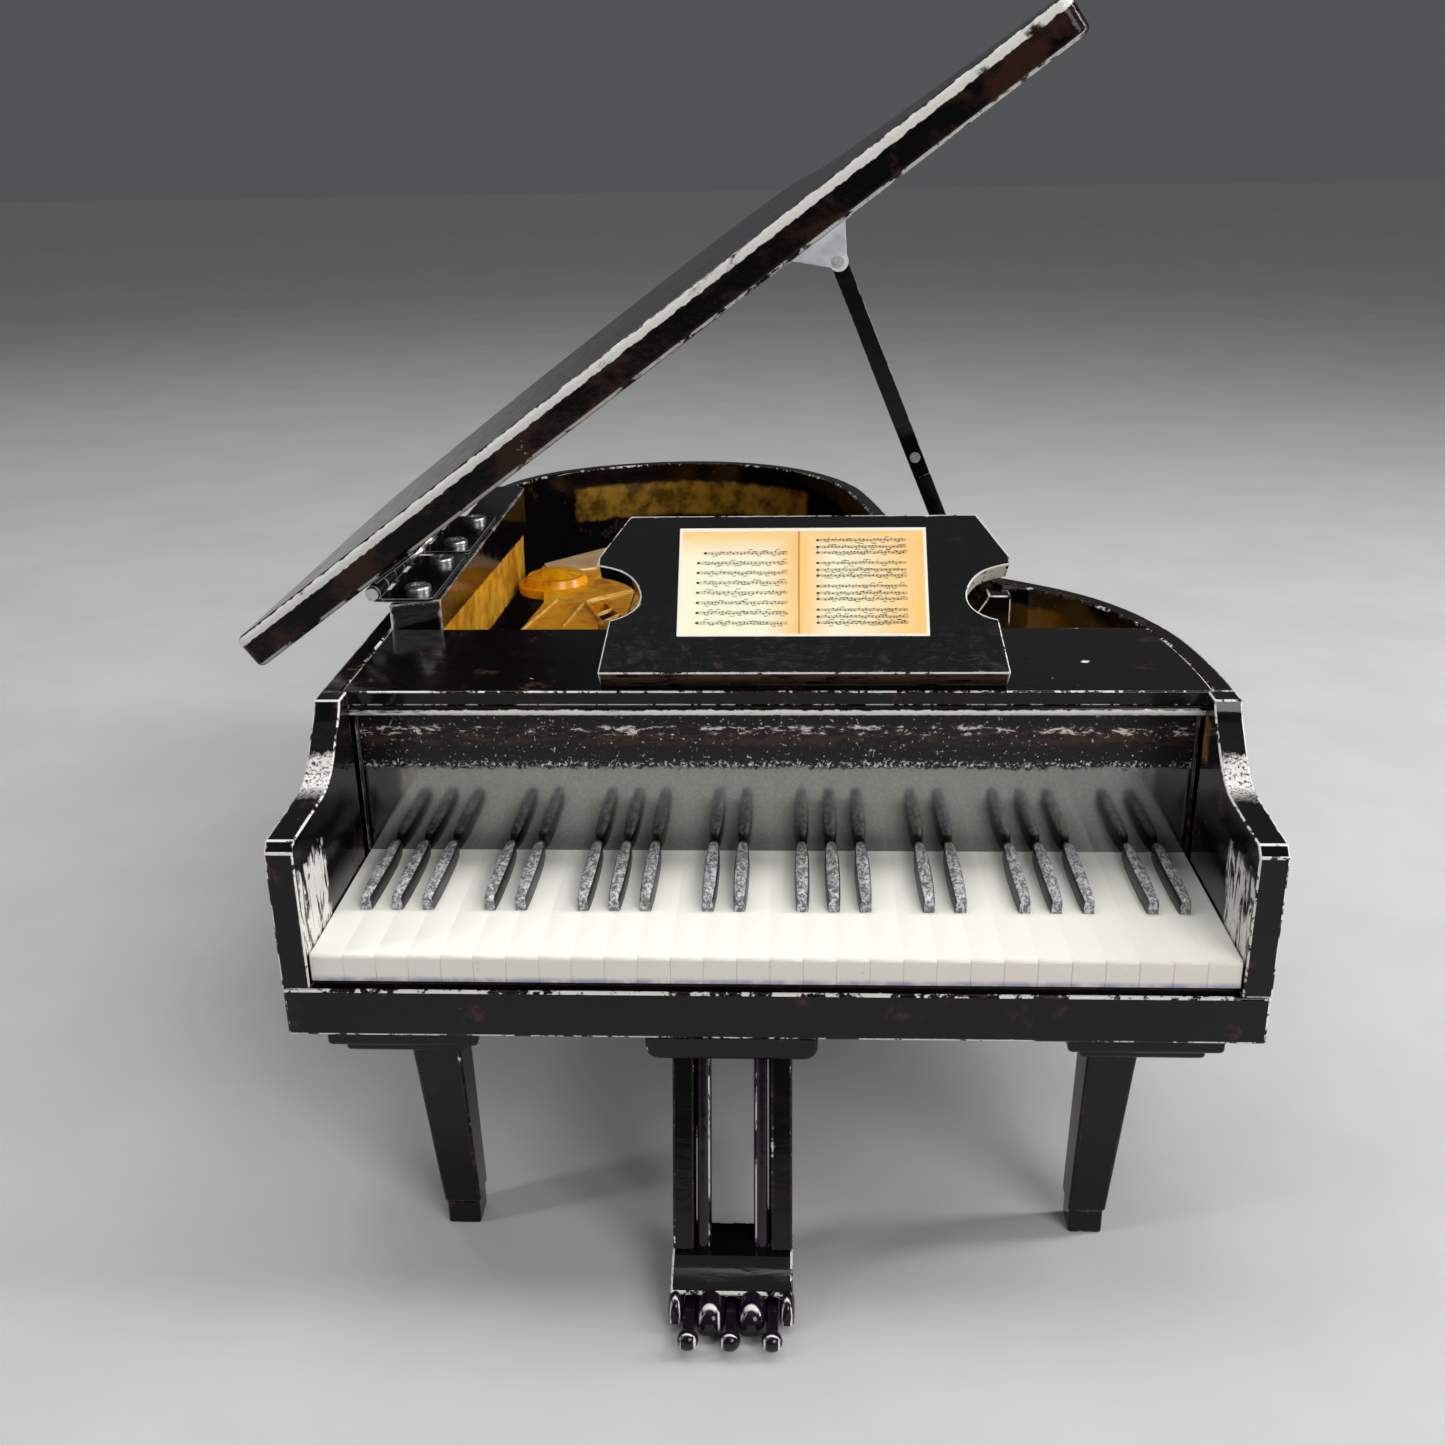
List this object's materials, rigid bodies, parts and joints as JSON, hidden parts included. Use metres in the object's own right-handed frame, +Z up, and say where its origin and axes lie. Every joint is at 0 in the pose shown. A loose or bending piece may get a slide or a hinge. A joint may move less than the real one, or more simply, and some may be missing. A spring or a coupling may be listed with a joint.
{
  "type": "miniature grand piano",
  "caption": "Small-scale black lacquered grand piano with an opening hinged lid, folding lid prop, music desk, fixed keyboard, pedal lyre and tapered legs.",
  "frame": {"origin": "on the floor, at the middle of the open piano's bounding box", "axes": "+Z up, +Y from the keyboard towards the tail, +X towards the treble side"},
  "size_m": [0.1413, 0.2013, 0.1536],
  "materials": {
    "black_lacquer": "hand-brushed gloss black over wood, worn to white primer and brown at the edges",
    "key_ivory": "moulded semi-gloss ivory white",
    "key_black": "dull black paint, rubbed grey on top",
    "gold_plate": "glossy amber gold",
    "spruce": "thin dark-stained board",
    "hinge_black": "black painted steel, chipped",
    "screw_steel": "bright zinc-plated steel",
    "white_clip": "white moulded plastic",
    "sheet_paper": null,
    "string_wire": "thin drawn wire"
  },
  "bodies": {
    "case": {"base_board": "black_lacquer", "bass_wall": "black_lacquer", "belly_rail": "black_lacquer", "bentside_wall": "black_lacquer", "black_keys": "key_black", "case_hinge_screws": "screw_steel", "deck_board": "black_lacquer", "deck_moulding": "black_lacquer", "desk_wedges": "black_lacquer", "fallboard": "black_lacquer", "front_hinge_case_leaf": "hinge_black", "front_left_bracket": "black_lacquer", "front_left_bracket_step": "black_lacquer", "front_left_foot": "black_lacquer", "front_left_leg": "black_lacquer", "front_right_bracket": "black_lacquer", "front_right_bracket_step": "black_lacquer", "front_right_foot": "black_lacquer", "front_right_leg": "black_lacquer", "hinge_pins": "screw_steel", "hinge_rail": "black_lacquer", "iron_plate": "gold_plate", "key_rail": "spruce", "left_cheek": "black_lacquer", "left_pedal": "black_lacquer", "lyre_left_post": "black_lacquer", "lyre_left_rod": "black_lacquer", "lyre_right_post": "black_lacquer", "lyre_right_rod": "black_lacquer", "lyre_top_plate": "black_lacquer", "middle_pedal": "black_lacquer", "music_desk": "black_lacquer", "pedal_box": "black_lacquer", "plate_posts": "spruce", "prop_seat": "black_lacquer", "rear_bracket": "black_lacquer", "rear_bracket_step": "black_lacquer", "rear_foot": "black_lacquer", "rear_hinge_case_leaf": "hinge_black", "rear_leg": "black_lacquer", "right_cheek": "black_lacquer", "right_pedal": "black_lacquer", "sheet_music": "sheet_paper", "soundboard": "spruce", "string_bar": "spruce", "strings": "string_wire", "tail_wall": "black_lacquer", "white_key_block": "key_ivory"},
    "lid": {"lid": "black_lacquer", "front_hinge_lid_leaf": "hinge_black", "rear_hinge_lid_leaf": "hinge_black", "lid_hinge_screws": "screw_steel", "prop_clip": "white_clip", "prop_pivot_pin": "screw_steel"},
    "prop": {"prop_rod": "black_lacquer", "prop_lower_piece": "black_lacquer", "prop_rivet": "screw_steel"}
  },
  "joints": [
    {"name": "lid_hinge", "type": "hinge", "parent": "case", "child": "lid", "pos_m": [-0.0493, -0.0005, 0.07455], "axis": [0, 1, 0], "range_deg": [0, 38.9]},
    {"name": "prop_fold", "type": "hinge", "parent": "lid", "child": "prop", "pos_m": [0.0202, -0.0079, 0.12], "axis": [0, 1, 0], "range_deg": [0, 76.8]}
  ],
  "couplings": [
    {"joint": "prop_fold", "follows": "lid_hinge", "ratio": 1.97}
  ]
}
